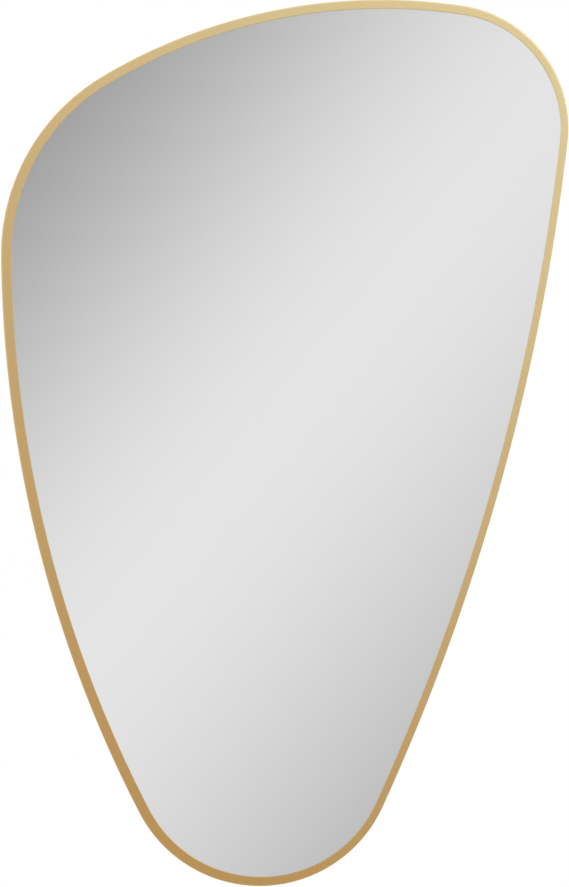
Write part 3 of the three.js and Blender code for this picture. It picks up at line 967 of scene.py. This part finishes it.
def cross_cutter(kind, turn):
    """One slot of the cross recess, wider towards the top of the head."""
    arm = CROSS_ARM * kind.head
    slot = CROSS_SLOT * kind.head / 2
    rows = []
    for reach, y in ((CROSS_FOOT * arm, kind.height * (1 - CROSS_DEPTH)),
                     (CROSS_MOUTH * arm, kind.height * CROSS_TOP)):
        rows.append([(-reach, y, -slot), (reach, y, -slot), (reach, y, slot), (-reach, y, slot)])
    cutter = lofted("cross", rows)
    cutter.rotation_euler.y = turn
    return cutter


def screw_mesh(kind, name):
    """Pan-head screw with a cross recess. The head sits above Y = 0, the tip points to -Y."""
    straight = kind.height * HEAD_STRAIGHT
    profile = [(0, -kind.length), (kind.tip, -kind.length), (kind.shank, kind.point - kind.length),
               (kind.shank, 0), (kind.head, 0)]
    for i in range(HEAD_STEPS):
        angle = QUARTER_TURN * i / HEAD_STEPS
        rise = (kind.height - straight) * math.sin(angle)
        profile.append((kind.head * math.cos(angle), straight + rise))
    profile.append((0, kind.height))
    screw = turned(name, profile, HEAD_SIDES)
    cutters = [cross_cutter(kind, turn) for turn in (0, QUARTER_TURN)]
    bpy.context.view_layer.update()
    cut_away(screw, cutters)
    return screw


def build_joiner_screws(zinc):
    screw = screw_mesh(JOINER_SCREW, "joiner_screw_pattern")
    for i in range(JOINER_SCREW_COUNT):
        node = f"joiner_screw_{i + 1}"
        made = copy_of(screw, f"machine_screw_{i + 1}")
        offset = (i - (JOINER_SCREW_COUNT - 1) / 2) * JOINER_SCREW_SPACING
        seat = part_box(node)[1].y - JOINER_SCREW.height
        turned_by = Matrix.Rotation(math.radians(JOINER_SCREW_TURN * i), 4, "Y")
        made.matrix_world = rim_matrix(SEAM + offset, JOINER_SCREW_INSET, seat) @ turned_by
        dressed(made, [zinc], node)
    bpy.data.objects.remove(screw)


# ---------------------------------------------------------------- bumpers

def build_bumpers(rubber):
    for place in BUMPER_PLACES:
        low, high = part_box(f"bumper_{place}")
        height = high.y - low.y
        profile = [(0, 0), (BUMPER_BASE, 0), (BUMPER_BASE, BUMPER_RIM)]
        profile += arc_points(BUMPER_FACE, height - BUMPER_ROUND, BUMPER_ROUND,
                              0, QUARTER_TURN, BUMPER_STEPS)
        profile.append((0, height))
        made = turned(f"rubber_{place}", profile, BUMPER_SIDES)
        made.location = ((low.x + high.x) / 2, low.y, (low.z + high.z) / 2)
        dressed(made, [rubber], f"bumper_{place}")


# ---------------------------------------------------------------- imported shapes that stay

def dress_packed(names, material):
    for name in names:
        node = frame["nodes"][name]
        node.data.materials.clear()
        node.data.materials.append(material)


# ---------------------------------------------------------------- camera and light

def add_camera():
    data = bpy.data.cameras.new("camera")
    data.sensor_width = CAMERA_SENSOR
    data.lens = CAMERA_SENSOR * CAMERA_DISTANCE / (PIXEL * PHOTO_HEIGHT)
    data.clip_end = CAMERA_REACH
    camera = bpy.data.objects.new("camera", data)
    camera.location = (VIEW_CENTRE_X, FRAME_FRONT - CAMERA_DISTANCE, VIEW_CENTRE_Z)
    camera.rotation_euler = (QUARTER_TURN, 0, 0)
    bpy.context.scene.collection.objects.link(camera)
    bpy.context.scene.camera = camera


def seen_directly(tree):
    """1 for what the camera, a gloss or a clear body sees, 0 for what lights the object."""
    rays = add_node(tree, "ShaderNodeLightPath").outputs
    seen = arithmetic(tree, "MAXIMUM", rays["Is Camera Ray"], rays["Is Glossy Ray"])
    return arithmetic(tree, "MAXIMUM", seen, rays["Is Transmission Ray"])


def add_world():
    """White surroundings, which light the object at a level of their own."""
    world = bpy.data.worlds.new("studio")
    world.use_nodes = True
    tree = world.node_tree
    level = add_node(tree, "ShaderNodeMapRange", Value=seen_directly(tree),
                     To_Min=WORLD_LIGHT, To_Max=1.0).outputs["Result"]
    background = tree.nodes["Background"]
    feed(tree, background.inputs["Color"], WHITE)
    feed(tree, background.inputs["Strength"], level)
    bpy.context.scene.world = world


def add_lamps():
    middle = Vector((VIEW_CENTRE_X, FRAME_FRONT, VIEW_CENTRE_Z))
    for kind in LAMPS:
        data = bpy.data.lights.new(kind.name, "AREA")
        data.shape = "DISK"
        data.size = kind.size
        data.energy = kind.power
        lamp = bpy.data.objects.new(kind.name, data)
        lamp.location = kind.place
        towards = middle - Vector(kind.place)
        lamp.rotation_euler = towards.to_track_quat("-Z", "Y").to_euler()
        bpy.context.scene.collection.objects.link(lamp)


# ---------------------------------------------------------------- floor

def floor_material():
    """Pale matt paint, which gives way to the white of the surroundings where it is seen."""
    material = bpy.data.materials.new("pale_floor")
    material.use_nodes = True
    tree = material.node_tree
    paint = tree.nodes["Principled BSDF"]
    feed(tree, paint.inputs["Base Color"], FLOOR_GREY)
    feed(tree, paint.inputs["Roughness"], FLOOR_ROUGHNESS)
    position = add_node(tree, "ShaderNodeTexCoord").outputs["Object"]
    flat = add_node(tree, "ShaderNodeMapping", Vector=position, Scale=(1, 1, 0))
    length = add_node(tree, "ShaderNodeVectorMath", {"operation": "LENGTH"})
    feed(tree, length.inputs[0], flat.outputs["Vector"])
    fade = add_node(tree, "ShaderNodeMapRange", {"interpolation_type": "SMOOTHSTEP"},
                    Value=length.outputs["Value"], From_Min=FLOOR_FADE[0], From_Max=FLOOR_FADE[1])
    share = arithmetic(tree, "MULTIPLY", fade.outputs["Result"], seen_directly(tree))
    mix = add_node(tree, "ShaderNodeMixShader", Fac=share)
    feed(tree, mix.inputs[1], paint.outputs["BSDF"])
    feed(tree, mix.inputs[2], add_node(tree, "ShaderNodeEmission").outputs["Emission"])
    feed(tree, tree.nodes["Material Output"].inputs["Surface"], mix.outputs["Shader"])
    return material


def add_floor():
    vertices = [(0, 0, FLOOR_Z)]
    for radius in FLOOR_RADII:
        for i in range(FLOOR_SIDES):
            angle = TURN * i / FLOOR_SIDES
            vertices.append((radius * math.cos(angle), radius * math.sin(angle), FLOOR_Z))
    faces = [(0, 1 + i, 1 + (i + 1) % FLOOR_SIDES) for i in range(FLOOR_SIDES)]
    for ring in range(len(FLOOR_RADII) - 1):
        inner = 1 + ring * FLOOR_SIDES
        outer = inner + FLOOR_SIDES
        for i in range(FLOOR_SIDES):
            right = (i + 1) % FLOOR_SIDES
            faces.append((inner + i, outer + i, outer + right, inner + right))
    floor = new_object("floor", vertices, faces)
    floor.data.materials.append(floor_material())


# ---------------------------------------------------------------- cards

def place_on_card(tree, direction):
    """Distance from the middle of the card in a direction, in metres."""
    place = add_node(tree, "ShaderNodeUVMap", {"uv_map": "along"}).outputs["UV"]
    return measured(tree, place, (math.cos(direction), math.sin(direction), 0))


def band_glow(tree, band):
    """Bell curve across the card."""
    across = place_on_card(tree, CARD_TILT)
    offset = arithmetic(tree, "SUBTRACT", across, band.middle * CARD_GAIN)
    scaled = arithmetic(tree, "DIVIDE", offset, band.width * CARD_GAIN)
    squared = arithmetic(tree, "MULTIPLY", scaled, scaled)
    fall = arithmetic(tree, "MULTIPLY", squared, -1.0)
    bell = arithmetic(tree, "POWER", math.e, fall)
    return arithmetic(tree, "MULTIPLY", bell, band.glow)


def ramp_glow(tree, ramp):
    """Smooth rise from nothing to the full glow."""
    rise = add_node(tree, "ShaderNodeMapRange", {"interpolation_type": "SMOOTHSTEP"},
                    Value=place_on_card(tree, ramp.direction), From_Min=ramp.start * CARD_GAIN,
                    From_Max=ramp.end * CARD_GAIN, To_Max=ramp.glow)
    return rise.outputs["Result"]


def card_material(name, base, bands, ramps):
    material = bpy.data.materials.new(name)
    material.use_nodes = True
    tree = material.node_tree
    tree.nodes.remove(tree.nodes["Principled BSDF"])
    total = base
    for band in bands:
        total = arithmetic(tree, "ADD", band_glow(tree, band), total)
    for ramp in ramps:
        total = arithmetic(tree, "ADD", ramp_glow(tree, ramp), total)
    missing = arithmetic(tree, "SUBTRACT", FLOOR_GLOW, total)
    added = arithmetic(tree, "MULTIPLY", missing, ramp_glow(tree, FLOOR_SHARE))
    total = arithmetic(tree, "ADD", total, added)
    strength = arithmetic(tree, "DIVIDE", total, PANE_REFLECTS)
    light = add_node(tree, "ShaderNodeEmission", Strength=strength)
    feed(tree, tree.nodes["Material Output"].inputs["Surface"], light.outputs["Emission"])
    return material


def add_card(name, towards, material):
    """Curved card in front of the mirror (-1) or behind it (1). Only glosses see it."""
    heights = (FLOOR_Z, CARD_TOP)
    rows = []
    across = []
    for i in range(CARD_COLUMNS + 1):
        angle = CARD_REACH * (2 * i / CARD_COLUMNS - 1)
        x = VIEW_CENTRE_X + CARD_RADIUS * math.sin(angle)
        y = MIRROR_PLANE + towards * CARD_RADIUS * math.cos(angle)
        rows.append([(x, y, height) for height in heights])
        across.append(CARD_RADIUS * angle)
    up = [height - VIEW_CENTRE_Z for height in heights]
    card = lofted(name, rows, closed_columns=False, caps=False, uv_rows=across, uv_columns=up)
    card.data.materials.append(material)
    card.visible_camera = False
    card.visible_diffuse = False
    card.visible_shadow = False


# ---------------------------------------------------------------- the scene

add_camera()
add_world()
add_floor()
add_card("front_card", -1, card_material("front_glow", FRONT_BASE, FRONT_BANDS, FRONT_RAMPS))
add_card("rear_card", 1, card_material("rear_glow", REAR_BASE, (), REAR_RAMPS))
add_lamps()

zinc = bright_zinc()
build_frame(satin_gold())
build_pane(silvered_face(), glass_edge(), backing_paint())
build_board(fibreboard_face())
build_springs(rolled_steel())
build_hangers(zinc, nickel_wire())
build_joiner_screws(zinc)
build_bumpers(clear_rubber())
dress_packed(["frame_joiner"], zinc)
dress_packed(["lip_gasket"], foam("black_foam", BLACK_FOAM_DARK, BLACK_FOAM_PALE))
white_foam = foam("white_foam", WHITE_FOAM_DARK, WHITE_FOAM_PALE)
dress_packed([f"tape_strip_{i + 1}" for i in range(TAPE_COUNT)], white_foam)

scene = bpy.context.scene
scene.view_settings.view_transform = "Standard"
